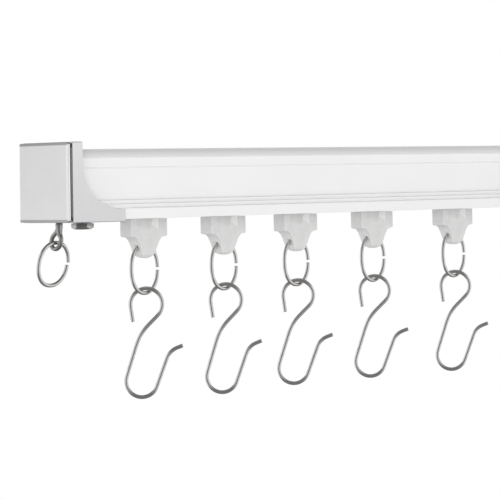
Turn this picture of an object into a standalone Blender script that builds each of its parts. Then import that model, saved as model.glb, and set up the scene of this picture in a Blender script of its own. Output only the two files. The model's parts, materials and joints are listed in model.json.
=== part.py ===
"""Curtain hanging track: a white rail with a metal end cap at each end and nylon gliders in its
underside. Each glider carries a split ring, and each ring carries an S-hook.

Frame: the origin is on the rail's flat top face, half way along it. +X runs along the rail, -Y is
the front, +Z is up. Lengths are in millimetres and are turned into metres by MM.
"""

import math

import bmesh
import bpy
from mathutils import Matrix, Vector

MM = 0.001
MERGE_DISTANCE = 1e-6       # metres; clears slivers left by the Booleans

# ---- overall ----
CAP_TO_CAP = 378.0          # between the caps' outer end faces, without the cover plates
HALF_LENGTH = CAP_TO_CAP / 2
ROUND_SIDES = 12            # sides of the pins, holes, screw, nut and wheels

# ---- rail section ----
RAIL_HALF_DEPTH = 15.0
RAIL_HEIGHT = 28.4
RAIL_FOOT_BEVEL = 0.5
RAIL_BACK_BEVEL = 0.6       # along the top back edge
FACE_Y = -9.1               # the tall flat front face
SHOULDER_Y = -9.5           # the rounded shoulder above it ends here, a little proud of the face
SHOULDER_Z = -3.5
SHOULDER_END_ANGLE = 158.0  # degrees; the shoulder turns from level to here, then steps back
BEAD_Z = -7.7
BEAD_OUT = 0.25
BEAD_HALF_HEIGHT = 0.25
BEAD_FLAT_HALF = 0.1
STEP_EDGES = ((-11.0, -21.1), (-13.0, -22.7), (-RAIL_HALF_DEPTH, -24.35))  # (y, z), front lip last
STEP_GROOVE = ((0.0, 0.85), (0.4, 0.45), (0.0, 0.12))   # (y from the wall, z from the edge)
STEP_NOSE = ((0.35, 0.0), (0.1, -0.1), (0.0, -0.35))    # (y, z) from the edge
CHANNEL_HALF_WIDTH = 6.8
CHANNEL_FLOOR_Z = -26.4
CHANNEL_TOP_Z = -16.4
SLOT_HALF_WIDTH = 2.5
CHAMBER_OVERRUN = 5.0       # the chamber cutters pass each end of the rail by this much
CHAMBERS = {                # hollows along the whole rail, as (y, z)
    "upper_chamber": [(-7.4, -4.2), (-4.6, -1.9), (13.3, -1.9), (13.3, -14.8), (-7.4, -14.8)],
    "rear_chamber": [(8.4, -16.3), (13.3, -16.3), (13.3, -26.7), (8.4, -26.7)],
    "foot_chamber": [(-8.5, -26.7), (-13.3, -26.7), (-13.3, -25.9), (-11.0, -24.4),
                     (-8.5, -22.8)],
}

# ---- end cap, X measured from its outer end ----
CAP_TOP_Z = 2.8
CAP_BOTTOM_Z = -29.3
CAP_MID_Z = (CAP_TOP_Z + CAP_BOTTOM_Z) / 2
CAP_HALF_DEPTH = 16.0
CAP_WALL = 5.8              # end wall, measured along X
CAP_GAP = 0.3               # from the cap to the rail's end, front lip and back
CAP_TOP_LENGTH = 5.5
CAP_FOOT_LENGTH = 27.1
CAP_FOOT_TOP_Z = STEP_EDGES[-1][1]
CAP_SWEEP_TOP_Z = -7.2
CAP_OUTER_R = 0.7
CAP_TOP_INNER_R = 0.35
CAP_FOOT_R = 0.4
CAP_FOOT_STEP = 0.01        # the foot's tip stands this far past the sweep
CAP_LONG_EDGE_R = 0.8       # rounding of the edges that run along X
ROOM_TOP_Z = 9.0            # the room for the rail is cut from above the cap
ROOM_FLOOR_Z = -28.65
ROOM_STEPS = ((-11.3, -21.0), (-13.3, -22.6))   # (y, z), following the rail's stepped front
ROOM_LIP_Z = -24.2
PLUG_GAP = 0.4              # from the plug to the channel's sides and top, and the slot's sides
PLUG_FLOOR_GAP = 0.3
PLUG_ROOT_Z = -28.95
PLUG_X = (CAP_WALL - 1.0, 13.0)
RAIL_START = CAP_WALL + CAP_GAP

# ---- cover plate, X measured from the cap's outer end ----
PEG_Y = 9.0
PEG_R = 1.4
PEG_X = (-1.0, 4.0)
PEG_HOLE_GAP = 0.3
PEG_HOLE_X = (-2.0, 4.4)
PLATE_OUT = 2.2             # the face stands this far outside the cap
PLATE_BACK = 1.35
PLATE_HALF = 15.85
PLATE_PAD_HALF = PLATE_HALF - 1.6   # a smaller pad behind the plate
PLATE_STATIONS = (          # (x, half width, corner radius)
    (-PLATE_OUT, PLATE_HALF - 0.7, 0.5),
    (-PLATE_OUT + 0.12, PLATE_HALF - 0.35, 0.75),
    (-PLATE_OUT + 0.5, PLATE_HALF, 1.0),
    (-PLATE_BACK, PLATE_HALF, 1.0),
    (-PLATE_BACK, PLATE_PAD_HALF, 0.6),
    (-0.3, PLATE_PAD_HALF, 0.6),
)

# ---- screw, nut and eye under each cap, X measured from the cap's outer end ----
SCREW_X = 17.7
SCREW_HEAD_FLATS = 8.1      # across flats
SCREW_HEAD_BEVEL = 0.75
SCREW_HEAD_TOP_Z = -29.6
SCREW_HEAD_BOTTOM_Z = -32.3
SCREW_R = 1.9
SCREW_TIP_Z = -20.9
SCREW_TIP_BEVEL = 0.5
SCREW_HOLE_GAP = 0.35
SCREW_HOLE_Z = (-32.0, -27.5)
NUT_BORE_GAP = 0.32
NUT_HALF_WIDTH = 3.7
NUT_CORNER_R = 4.7
NUT_BOTTOM_Z = CHANNEL_FLOOR_Z + 0.3
NUT_TOP_Z = CHANNEL_FLOOR_Z + 3.2
EYE_X = 4.5
EYE_STEM_Y = -1.5
EYE_HOLE_R = 1.15
EYE_HOLE_Z = (-32.0, -23.3)
EYE_SIDES = 8
EYE_WIRE_R = 0.72
EYE_STEM = ((-23.8, 0.85), (-29.2, 0.85), (-29.45, 1.4), (-31.0, 1.2), (-32.4, 0.95))  # (z, radius)
EYE_LOOP = (                # the loop's centre line, (y, z)
    (-1.75, -34.0), (-2.6, -35.4), (-2.75, -37.0), (-2.1, -38.6), (-0.7, -39.5), (0.9, -39.6),
    (2.4, -39.0), (3.3, -37.6), (3.3, -36.1), (2.5, -34.7), (1.3, -33.7), (0.55, -33.2),
)
EYE_HANG = (0.3, -39.62)    # (y, z) of the loop's lowest wire centre, where the end ring hangs

# ---- gliders ----
GLIDER_X = (50.0, 93.9, 136.0, 182.9, 235.2, 283.0, 330.5)  # from the left cap's outer end
BODY_HALF_X = 9.65
BODY_HALF_Y = 3.6
BODY_TOP_Z = -28.75
BODY_BOTTOM_Z = -36.05
BODY_CORNER_R = 0.8
TONGUE_ROOT = ((7.6, BODY_BOTTOM_Z - 0.02), (6.7, BODY_BOTTOM_Z - 0.45))    # (half width, z)
TONGUE_EDGE = (             # (half width, z)
    (5.75, -37.45), (4.95, -38.8), (4.3, -40.4), (3.7, -42.0), (3.25, -43.2), (2.6, -44.0),
    (1.5, -44.6),
)
TONGUE_TIP_Z = -44.9
NECK_HALF_X = 4.6
NECK_HALF_Y = 2.0
NECK_TOP_Z = -19.3
NECK_OVERLAP = 0.8          # the neck starts this far down inside the block
NECK_CORNER_R = 1.2
RECESS_TOP_Z = -27.0        # above the block, so both recesses open at its top
FIELD_HALF_X = 7.4          # shallow recess on the block's front and back
FIELD_BOTTOM_Z = -35.2
FIELD_DEPTH = 0.5
POCKET_HALF_X = 3.2         # deeper round-bottomed recess within it
POCKET_ARC_Z = -30.9
POCKET_ARC_HEIGHT = 2.6
POCKET_DEPTH = 2.2
RECESS_OVERRUN = 2.0
RING_SLOT_X = (2.0, 12.0)
RING_SLOT_Z = (-37.6, -48.0)
RING_SLOT_HALF_Y = 1.9
RING_HOLE_R = 1.5
RING_HOLE_HALF_X = 3.5
RING_HOLE_DROP = 0.2        # the hole's centre is this far below the ring's wire
WHEEL_R = 4.2
WHEEL_HALF_WIDTH = 1.7
WHEEL_BEVEL_R = 0.7
WHEEL_BEVEL_Y = 0.5
WHEEL_Y = 4.05
WHEEL_FLOOR_GAP = 0.25
BORE_R = 1.0
AXLE_Z = CHANNEL_FLOOR_Z + WHEEL_FLOOR_GAP + WHEEL_R
AXLE_R = 0.88
AXLE_HALF_LENGTH = 6.2
AXLE_HOLE_GAP = 0.35
AXLE_HOLE_HALF_Y = 4.0

# ---- rings and hooks ----
WIRE_R = 0.80
WIRE_SIDES = 6
RING_TOP_Z = -39.45         # wire centre, where the ring passes through the tongue
RING_BOTTOM_Z = -59.15      # wire centre, where the hook hangs
RING_HALF_X = 7.0
RING_HALF_Z = (RING_TOP_Z - RING_BOTTOM_Z) / 2
RING_GAP = 0.9
RING_STEPS = 30
RING_POWER = 2.15           # 2 is an ellipse; more is squarer
END_RING_HALF_X = 7.3
END_RING_HALF_Z = 8.95
END_RING_TILT = math.radians(13.0)      # the foot of the ring swings to the back
END_RING_GAP = 0.55                     # between the end ring's wire and the eye's
HOOK_TURN = math.radians(-40.0)     # the hook's plane, turned about the vertical from +X
HOOK_LIFT = 2 * WIRE_R + 0.34       # hook wire centre above the ring wire centre
HOOK_START = math.radians(98.0)     # heading of the first run
HOOK_ARC_STEP = 17.5                # degrees of turn for each chord, roughly
HOOK_RUNS = (               # (length or arc radius, turn in degrees); no turn is a straight run
    (6.2, 0), (6.57, -194.3), (6.1, -39.2), (6.1, 0), (18.4, 27.6),
    (13.7, 0), (6.5, 177.4), (12.3, 0), (6.9, -49.7), (2.6, 0),
)
HOOK_TOP_POINTS = 16        # points of the first four runs, which make the top loop
HOOK_OFFSET = 0.6           # middle of the top loop from the ring wire, in the hook's plane


# ------------------------------------------------------------------ mesh helpers

def mesh_of(name, verts, faces):
    mesh = bpy.data.meshes.new(name)
    mesh.from_pydata([(x * MM, y * MM, z * MM) for x, y, z in verts], [], faces)
    bm = bmesh.new()
    bm.from_mesh(mesh)
    bmesh.ops.recalc_face_normals(bm, faces=bm.faces)
    bm.to_mesh(mesh)
    bm.free()
    return mesh


def on_axis(axis, level, point):
    """The flat point, (y, z), (x, z) or (x, y), placed at a level along X, Y or Z."""
    first, second = point
    return {"X": (level, first, second),
            "Y": (first, level, second),
            "Z": (first, second, level)}[axis]


def loft(name, rings, closed=False):
    """Skins rings of equal point counts. Open ends are capped; closed joins last to first."""
    n = len(rings[0])
    verts = [point for ring in rings for point in ring]
    faces = []
    for k in range(len(rings) if closed else len(rings) - 1):
        a = k * n
        b = (k + 1) % len(rings) * n
        faces += [(a + i, a + (i + 1) % n, b + (i + 1) % n, b + i) for i in range(n)]
    if not closed:
        faces.append(tuple(range(n - 1, -1, -1)))
        faces.append(tuple(range((len(rings) - 1) * n, len(rings) * n)))
    return mesh_of(name, verts, faces)


def prism(name, outline, axis, low, high):
    """A flat outline pushed along an axis."""
    n = len(outline)
    verts = [on_axis(axis, level, point) for level in (low, high) for point in outline]
    faces = [tuple(range(n)), tuple(range(2 * n - 1, n - 1, -1))]
    faces += [(i, (i + 1) % n, n + (i + 1) % n, n + i) for i in range(n)]
    return mesh_of(name, verts, faces)


def disc(radius, axis, level, centre=(0.0, 0.0), sides=ROUND_SIDES):
    out = []
    for k in range(sides):
        a = 2 * math.pi * k / sides
        point = (centre[0] + radius * math.cos(a), centre[1] + radius * math.sin(a))
        out.append(on_axis(axis, level, point))
    return out


def rod(name, radius, axis, span, centre=(0.0, 0.0), sides=ROUND_SIDES):
    """A straight round bar over a (low, high) span of an axis."""
    return loft(name, [disc(radius, axis, level, centre, sides) for level in span])


def sweep(name, path, radii, sides):
    """A round bar with flat ends along a path, with a radius for each point."""
    points = [Vector(p) for p in path]
    last = len(points) - 1
    tangents = [(points[min(i + 1, last)] - points[max(i - 1, 0)]).normalized()
                for i in range(last + 1)]
    side = tangents[0].orthogonal().normalized()
    angles = [2 * math.pi * k / sides for k in range(sides)]
    rings = []
    for point, tangent, radius in zip(points, tangents, radii):
        side = (side - tangent * side.dot(tangent)).normalized()
        up = tangent.cross(side)
        rings.append([tuple(point + (side * math.cos(a) + up * math.sin(a)) * radius)
                      for a in angles])
    return loft(name, rings)


def boolean(name, base, steps):
    """Applies (operation, mesh) steps to the base mesh with exact Booleans."""
    scene = bpy.context.scene
    solid = bpy.data.objects.new("work", base)
    scene.collection.objects.link(solid)
    tools = []
    for operation, mesh in steps:
        tool = bpy.data.objects.new("tool", mesh)
        scene.collection.objects.link(tool)
        tool.hide_render = True
        modifier = solid.modifiers.new(operation.lower(), "BOOLEAN")
        modifier.operation = operation
        modifier.solver = "EXACT"
        modifier.object = tool
        tools.append(tool)
    bpy.context.view_layer.update()
    depsgraph = bpy.context.evaluated_depsgraph_get()
    result = bpy.data.meshes.new_from_object(solid.evaluated_get(depsgraph))
    result.name = name
    for obj in tools + [solid]:
        bpy.data.objects.remove(obj)
    bm = bmesh.new()
    bm.from_mesh(result)
    bmesh.ops.remove_doubles(bm, verts=bm.verts, dist=MERGE_DISTANCE)
    bmesh.ops.dissolve_degenerate(bm, edges=bm.edges, dist=MERGE_DISTANCE)
    bm.to_mesh(result)
    bm.free()
    result.materials.clear()
    return result


def mirrored(name, mesh):
    """The same mesh reflected in the plane X = 0."""
    copy = mesh.copy()
    copy.name = name
    copy.transform(Matrix.Scale(-1, 4, Vector((1, 0, 0))))
    copy.flip_normals()
    return copy


def move_to_left_end(mesh):
    mesh.transform(Matrix.Translation((-HALF_LENGTH * MM, 0, 0)))
    return mesh


def arc(centre_u, centre_v, radius_u, radius_v, start, end, count):
    """count points on an ellipse's arc, both ends included, angles in degrees."""
    out = []
    for k in range(count):
        a = math.radians(start + (end - start) * k / (count - 1))
        out.append((centre_u + radius_u * math.cos(a), centre_v + radius_v * math.sin(a)))
    return out


def rounded_rect(u0, v0, u1, v1, r, count=4):
    """A rectangle from (u0, v0) to (u1, v1), with count points on each corner."""
    return (arc(u1 - r, v1 - r, r, r, 0, 90, count) + arc(u0 + r, v1 - r, r, r, 90, 180, count)
            + arc(u0 + r, v0 + r, r, r, 180, 270, count)
            + arc(u1 - r, v0 + r, r, r, 270, 360, count))


# ------------------------------------------------------------------ rail and end caps

def rail_outline():
    """The section as (y, z), from the top round the front, under the slot and up the back."""
    end = math.radians(SHOULDER_END_ANGLE)
    radius = -SHOULDER_Z / (1 - math.sin(end))
    points = arc(SHOULDER_Y - radius * math.cos(end), -radius, radius, radius,
                 90, SHOULDER_END_ANGLE, 7)
    points += [(SHOULDER_Y + 0.05, SHOULDER_Z - 0.15), (FACE_Y, SHOULDER_Z - 0.3)]
    points += [(FACE_Y, BEAD_Z + BEAD_HALF_HEIGHT), (FACE_Y - BEAD_OUT, BEAD_Z + BEAD_FLAT_HALF),
               (FACE_Y - BEAD_OUT, BEAD_Z - BEAD_FLAT_HALF), (FACE_Y, BEAD_Z - BEAD_HALF_HEIGHT)]
    wall = FACE_Y
    for y, z in STEP_EDGES:
        points += [(wall + dy, z + dz) for dy, dz in STEP_GROOVE]
        points += [(y + dy, z + dz) for dy, dz in STEP_NOSE]
        wall = y
    back, bottom, bevel = RAIL_HALF_DEPTH, -RAIL_HEIGHT, RAIL_FOOT_BEVEL
    slot, channel = SLOT_HALF_WIDTH, CHANNEL_HALF_WIDTH
    floor, top = CHANNEL_FLOOR_Z, CHANNEL_TOP_Z
    points += [(-back, bottom + bevel), (-back + bevel, bottom)]
    points += [(-slot, bottom), (-slot, floor), (-channel, floor), (-channel, top),
               (channel, top), (channel, floor), (slot, floor), (slot, bottom)]
    points += [(back - bevel, bottom), (back, bottom + bevel),
               (back, -RAIL_BACK_BEVEL), (back - RAIL_BACK_BEVEL, 0.0)]
    return points


def rail_mesh():
    x = HALF_LENGTH - RAIL_START
    cut_x = x + CHAMBER_OVERRUN
    steps = [("DIFFERENCE", prism(name, outline, "X", -cut_x, cut_x))
             for name, outline in CHAMBERS.items()]
    return boolean("rail", prism("rail", rail_outline(), "X", -x, x), steps)


def cap_side():
    """The cap's outline from the front or back, as (x, z)."""
    top, bottom, foot = CAP_TOP_Z, CAP_BOTTOM_Z, CAP_FOOT_LENGTH
    outer, inner, toe = CAP_OUTER_R, CAP_TOP_INNER_R, CAP_FOOT_R
    side = arc(outer, top - outer, outer, outer, 180, 90, 4)
    side += arc(CAP_TOP_LENGTH - inner, top - inner, inner, inner, 90, 0, 3)
    side += arc(foot, CAP_SWEEP_TOP_Z, foot - CAP_TOP_LENGTH, CAP_SWEEP_TOP_Z - CAP_FOOT_TOP_Z,
                180, 270, 17)
    side += [(foot + CAP_FOOT_STEP, CAP_FOOT_TOP_Z - CAP_FOOT_STEP)]
    side += arc(foot - toe, bottom + toe, toe + CAP_FOOT_STEP, toe, 0, -90, 3)
    side += arc(outer, bottom + outer, outer, outer, 270, 180, 4)
    return side


def cap_room():
    """The cutter that makes room for the rail."""
    front, back = FACE_Y - 0.6, RAIL_HALF_DEPTH + CAP_GAP
    outline = [(front, ROOM_TOP_Z), (front, -20.3), *ROOM_STEPS, (-back, ROOM_LIP_Z),
               (-back, ROOM_FLOOR_Z), (back, ROOM_FLOOR_Z), (back, ROOM_TOP_Z)]
    return prism("rail_room", outline, "X", CAP_WALL, CAP_FOOT_LENGTH + 4)


def cap_plug():
    """The block inside the rail's channel, with a web down through the slot."""
    half, web = CHANNEL_HALF_WIDTH - PLUG_GAP, SLOT_HALF_WIDTH - PLUG_GAP
    top, floor = CHANNEL_TOP_Z - PLUG_GAP, CHANNEL_FLOOR_Z + PLUG_FLOOR_GAP
    outline = [(-half, floor), (-half, top), (half, top), (half, floor),
               (web, floor), (web, PLUG_ROOT_Z), (-web, PLUG_ROOT_Z), (-web, floor)]
    return prism("plug", outline, "X", *PLUG_X)


def cap_mesh():
    """The left end cap."""
    depth = CAP_HALF_DEPTH
    body = prism("cap", cap_side(), "Y", -depth - 3, depth + 3)
    end_view = rounded_rect(-depth, CAP_BOTTOM_Z, depth, CAP_TOP_Z, CAP_LONG_EDGE_R)
    steps = [
        ("INTERSECT", prism("square", end_view, "X", -2, CAP_FOOT_LENGTH + 2)),
        ("DIFFERENCE", cap_room()),
        ("UNION", cap_plug()),
        ("DIFFERENCE", rod("screw_hole", SCREW_R + SCREW_HOLE_GAP, "Z", SCREW_HOLE_Z,
                           (SCREW_X, 0.0))),
        ("DIFFERENCE", rod("eye_hole", EYE_HOLE_R, "Z", EYE_HOLE_Z, (EYE_X, EYE_STEM_Y))),
    ]
    for y in (-PEG_Y, PEG_Y):
        hole = rod("peg_hole", PEG_R + PEG_HOLE_GAP, "X", PEG_HOLE_X, (y, CAP_MID_Z))
        steps.append(("DIFFERENCE", hole))
    return move_to_left_end(boolean("end_cap_left", body, steps))


def plate_mesh():
    """The left cover plate with its two pegs."""
    rings = []
    for x, half, radius in PLATE_STATIONS:
        outline = rounded_rect(-half, CAP_MID_Z - half, half, CAP_MID_Z + half, radius)
        rings.append([(x, y, z) for y, z in outline])
    steps = [("UNION", rod("peg", PEG_R, "X", PEG_X, (y, CAP_MID_Z))) for y in (-PEG_Y, PEG_Y)]
    return move_to_left_end(boolean("cover_plate_left", loft("cover_plate", rings), steps))


# ------------------------------------------------------------------ screw, nut and eye

def hexagon_ring(across_flats, z):
    """Twelve points on a hexagon: its corners and the middles of its sides."""
    out = []
    for k in range(12):
        a = math.pi * k / 6
        r = across_flats / 2 / math.cos(math.pi / 6) if k % 2 == 0 else across_flats / 2
        out.append((r * math.cos(a), r * math.sin(a), z))
    return out


def screw_mesh():
    top, bottom = SCREW_HEAD_TOP_Z, SCREW_HEAD_BOTTOM_Z
    return loft("clamp_screw", [
        disc(SCREW_HEAD_FLATS / 2 - SCREW_HEAD_BEVEL, "Z", bottom),
        hexagon_ring(SCREW_HEAD_FLATS, bottom + SCREW_HEAD_BEVEL),
        hexagon_ring(SCREW_HEAD_FLATS, top),
        disc(SCREW_R, "Z", top),
        disc(SCREW_R, "Z", SCREW_TIP_Z - SCREW_TIP_BEVEL),
        disc(SCREW_R - SCREW_TIP_BEVEL, "Z", SCREW_TIP_Z),
    ])


def nut_mesh():
    """A square nut with cut corners: a ring-shaped solid round the screw."""
    inner = SCREW_R + NUT_BORE_GAP
    rings = []
    for k in range(ROUND_SIDES):
        a = 2 * math.pi * (k + 0.5) / ROUND_SIDES
        c, s = math.cos(a), math.sin(a)
        outer = min(NUT_HALF_WIDTH / max(abs(c), abs(s)), NUT_CORNER_R)
        section = ((inner, NUT_BOTTOM_Z), (outer, NUT_BOTTOM_Z),
                   (outer, NUT_TOP_Z), (inner, NUT_TOP_Z))
        rings.append([(r * c, r * s, z) for r, z in section])
    return loft("clamp_nut", rings, closed=True)


def eye_mesh():
    """A stem with a collar that turns into a drop-shaped loop, lying across the rail."""
    path = [(0.0, EYE_STEM_Y, z) for z, _ in EYE_STEM] + [(0.0, y, z) for y, z in EYE_LOOP]
    radii = [radius for _, radius in EYE_STEM] + [EYE_WIRE_R] * len(EYE_LOOP)
    return sweep("eye", path, radii, EYE_SIDES)


# ------------------------------------------------------------------ rings and hooks

def wire_mesh(name, path):
    return sweep(name, path, [WIRE_R] * len(path), WIRE_SIDES)


def ring_mesh(name, half_x, half_z):
    """A squarish oval ring, split on its +X side, with its origin at the top wire's centre."""
    cut = math.asin(RING_GAP / 2 / half_z)
    power = 2 / RING_POWER
    path = []
    for k in range(RING_STEPS + 1):
        a = cut + (2 * math.pi - 2 * cut) * k / RING_STEPS
        c, s = math.cos(a), math.sin(a)
        path.append((half_x * math.copysign(abs(c) ** power, c), 0.0,
                     half_z * math.copysign(abs(s) ** power, s) - half_z))
    return wire_mesh(name, path)


def end_ring_mesh():
    mesh = ring_mesh("end_ring_left", END_RING_HALF_X, END_RING_HALF_Z)
    mesh.transform(Matrix.Rotation(END_RING_TILT, 4, "X"))
    return mesh


def hook_path():
    """The S-hook's centre line as (u, z) in its own plane. The top loop's crown is at z = 0."""
    u, z, heading = 0.0, 0.0, HOOK_START
    out = [(u, z)]
    for size, turn in HOOK_RUNS:
        count = max(2, round(abs(turn) / HOOK_ARC_STEP)) if turn else 1
        bend = math.radians(turn) / count
        step = 2 * size * math.sin(abs(bend) / 2) if turn else size
        for _ in range(count):
            u += step * math.cos(heading + bend / 2)
            z += step * math.sin(heading + bend / 2)
            heading += bend
            out.append((u, z))
    crown = max(z for _, z in out)
    top_loop = [u for u, _ in out[:HOOK_TOP_POINTS]]
    middle = (min(top_loop) + max(top_loop)) / 2
    return [(u - middle + HOOK_OFFSET, z - crown) for u, z in out]


def hook_mesh():
    """The S-hook with its origin at the ring wire it hangs on."""
    c, s = math.cos(HOOK_TURN), math.sin(HOOK_TURN)
    return wire_mesh("hook", [(u * c, u * s, z + HOOK_LIFT) for u, z in hook_path()])


# ------------------------------------------------------------------ gliders

def glider_outline():
    """The block and the tongue below it, as (x, z)."""
    r = BODY_CORNER_R
    side = arc(BODY_HALF_X - r, BODY_BOTTOM_Z + r, r, r, 0, -90, 4)
    side += [*TONGUE_ROOT, *TONGUE_EDGE]
    return ([(BODY_HALF_X, BODY_TOP_Z)] + side + [(0.0, TONGUE_TIP_Z)]
            + [(-x, z) for x, z in reversed(side)] + [(-BODY_HALF_X, BODY_TOP_Z)])


def recess(name, outline, sign, depth):
    """A cutter into the block's front (sign -1) or back (sign 1)."""
    return prism(name, outline, "Y", sign * (BODY_HALF_Y - depth),
                 sign * (BODY_HALF_Y + RECESS_OVERRUN))


def glider_mesh():
    """Block, tongue slotted on each side for the ring, and neck up through the rail's slot."""
    neck = rounded_rect(-NECK_HALF_X, BODY_TOP_Z - NECK_OVERLAP, NECK_HALF_X, NECK_TOP_Z,
                        NECK_CORNER_R, count=2)
    field = [(-FIELD_HALF_X, RECESS_TOP_Z), (-FIELD_HALF_X, FIELD_BOTTOM_Z),
             (FIELD_HALF_X, FIELD_BOTTOM_Z), (FIELD_HALF_X, RECESS_TOP_Z)]
    pocket = [(-POCKET_HALF_X, RECESS_TOP_Z), (POCKET_HALF_X, RECESS_TOP_Z)]
    pocket += arc(0.0, POCKET_ARC_Z, POCKET_HALF_X, POCKET_ARC_HEIGHT, 0, -180, 7)
    (near, far), (high, low) = RING_SLOT_X, RING_SLOT_Z
    steps = [("UNION", prism("neck", neck, "Y", -NECK_HALF_Y, NECK_HALF_Y))]
    for sign in (-1, 1):
        slot = [(sign * near, high), (sign * far, high), (sign * far, low), (sign * near, low)]
        steps += [
            ("DIFFERENCE", recess("field", field, sign, FIELD_DEPTH)),
            ("DIFFERENCE", recess("pocket", pocket, sign, POCKET_DEPTH)),
            ("DIFFERENCE", prism("ring_slot", slot, "Y", -RING_SLOT_HALF_Y, RING_SLOT_HALF_Y)),
        ]
    steps += [
        ("DIFFERENCE", rod("ring_hole", RING_HOLE_R, "X", (-RING_HOLE_HALF_X, RING_HOLE_HALF_X),
                           (0.0, RING_TOP_Z - RING_HOLE_DROP), sides=10)),
        ("DIFFERENCE", rod("pin_hole", AXLE_R + AXLE_HOLE_GAP, "Y",
                           (-AXLE_HOLE_HALF_Y, AXLE_HOLE_HALF_Y), (0.0, AXLE_Z), sides=8)),
    ]
    body = prism("glider", glider_outline(), "Y", -BODY_HALF_Y, BODY_HALF_Y)
    return boolean("glider_body", body, steps)


def wheel_mesh():
    """A bevelled wheel about Y, open through its bore."""
    rim, half = WHEEL_R, WHEEL_HALF_WIDTH
    section = ((BORE_R, -half), (rim - WHEEL_BEVEL_R, -half), (rim, -half + WHEEL_BEVEL_Y),
               (rim, half - WHEEL_BEVEL_Y), (rim - WHEEL_BEVEL_R, half), (BORE_R, half))
    rings = []
    for k in range(ROUND_SIDES):
        a = 2 * math.pi * k / ROUND_SIDES
        rings.append([(r * math.cos(a), y, r * math.sin(a)) for r, y in section])
    return loft("wheel", rings, closed=True)


# ------------------------------------------------------------------ materials and objects

def material(name, colour, roughness, metallic=0.0, transmission=0.0):
    mat = bpy.data.materials.new(name)
    mat.use_nodes = True
    inputs = mat.node_tree.nodes["Principled BSDF"].inputs
    inputs["Base Color"].default_value = (*colour, 1.0)
    inputs["Roughness"].default_value = roughness
    inputs["Metallic"].default_value = metallic
    inputs["Transmission Weight"].default_value = transmission
    mat.diffuse_color = (*colour, 1.0)
    return mat


def put(name, mesh, mat, location=(0.0, 0.0, 0.0), smooth=35.0):
    """Adds an object; edges sharper than smooth degrees stay sharp. Meshes may be shared."""
    if not mesh.materials:
        mesh.materials.append(mat)
    mesh.shade_smooth()
    mesh.set_sharp_from_angle(angle=math.radians(smooth))
    obj = bpy.data.objects.new(name, mesh)
    obj.location = Vector(location) * MM
    bpy.context.scene.collection.objects.link(obj)


def build_ends(satin, steel, wire):
    for name, mesh in (("end_cap", cap_mesh()), ("cover_plate", plate_mesh())):
        put(name + "_left", mesh, satin)
        put(name + "_right", mirrored(name + "_right", mesh), satin)
    screw, nut, eye, ring = screw_mesh(), nut_mesh(), eye_mesh(), end_ring_mesh()
    hang_y, hang_z = EYE_HANG
    ring_z = hang_z + EYE_WIRE_R + WIRE_R + END_RING_GAP
    for side, sign, end_ring in (("left", -1, ring), ("right", 1, mirrored("end_ring_right", ring))):
        screw_x, eye_x = sign * (HALF_LENGTH - SCREW_X), sign * (HALF_LENGTH - EYE_X)
        put("clamp_screw_" + side, screw, steel, (screw_x, 0, 0))
        put("clamp_nut_" + side, nut, steel, (screw_x, 0, 0))
        put("eye_" + side, eye, wire, (eye_x, 0, 0), smooth=50)
        put("end_ring_" + side, end_ring, wire, (eye_x, hang_y, ring_z), smooth=60)


def build_gliders(steel, wire):
    nylon = material("glider_nylon", colour=(0.80, 0.80, 0.79), roughness=0.42, transmission=0.15)
    wheel_nylon = material("wheel_nylon", colour=(0.84, 0.84, 0.83), roughness=0.40)
    ring = ring_mesh("ring", RING_HALF_X, RING_HALF_Z)
    glider, wheel, hook = glider_mesh(), wheel_mesh(), hook_mesh()
    axle = rod("glider_axle", AXLE_R, "Y", (-AXLE_HALF_LENGTH, AXLE_HALF_LENGTH))
    for n, from_left in enumerate(GLIDER_X, 1):
        x = from_left - HALF_LENGTH
        put(f"glider_body_{n}", glider, nylon, (x, 0, 0))
        put(f"glider_axle_{n}", axle, steel, (x, 0, AXLE_Z))
        put(f"wheel_front_{n}", wheel, wheel_nylon, (x, -WHEEL_Y, AXLE_Z))
        put(f"wheel_back_{n}", wheel, wheel_nylon, (x, WHEEL_Y, AXLE_Z))
        put(f"ring_{n}", ring, wire, (x, 0, RING_TOP_Z), smooth=60)
        put(f"hook_{n}", hook, wire, (x, 0, RING_BOTTOM_Z), smooth=60)


def build():
    for obj in list(bpy.data.objects):
        bpy.data.objects.remove(obj)
    white = material("white_rail", colour=(0.86, 0.86, 0.86), roughness=0.38)
    satin = material("satin_metal", colour=(0.68, 0.68, 0.70), roughness=0.32, metallic=1.0)
    wire = material("bright_wire", colour=(0.62, 0.61, 0.60), roughness=0.16, metallic=1.0)
    steel = material("plain_steel", colour=(0.55, 0.55, 0.56), roughness=0.30, metallic=1.0)
    put("rail", rail_mesh(), white, smooth=25)
    build_ends(satin, steel, wire)
    build_gliders(steel, wire)


build()
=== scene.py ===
"""Looks for the curtain hanging track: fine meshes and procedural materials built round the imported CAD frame.

Lengths in the shape code are millimetres and are turned into metres by MM. X runs along the rail, -Y is the front, +Z up.
"""

import json
import math

import bmesh
import bpy
from mathutils import Matrix, Vector


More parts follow.
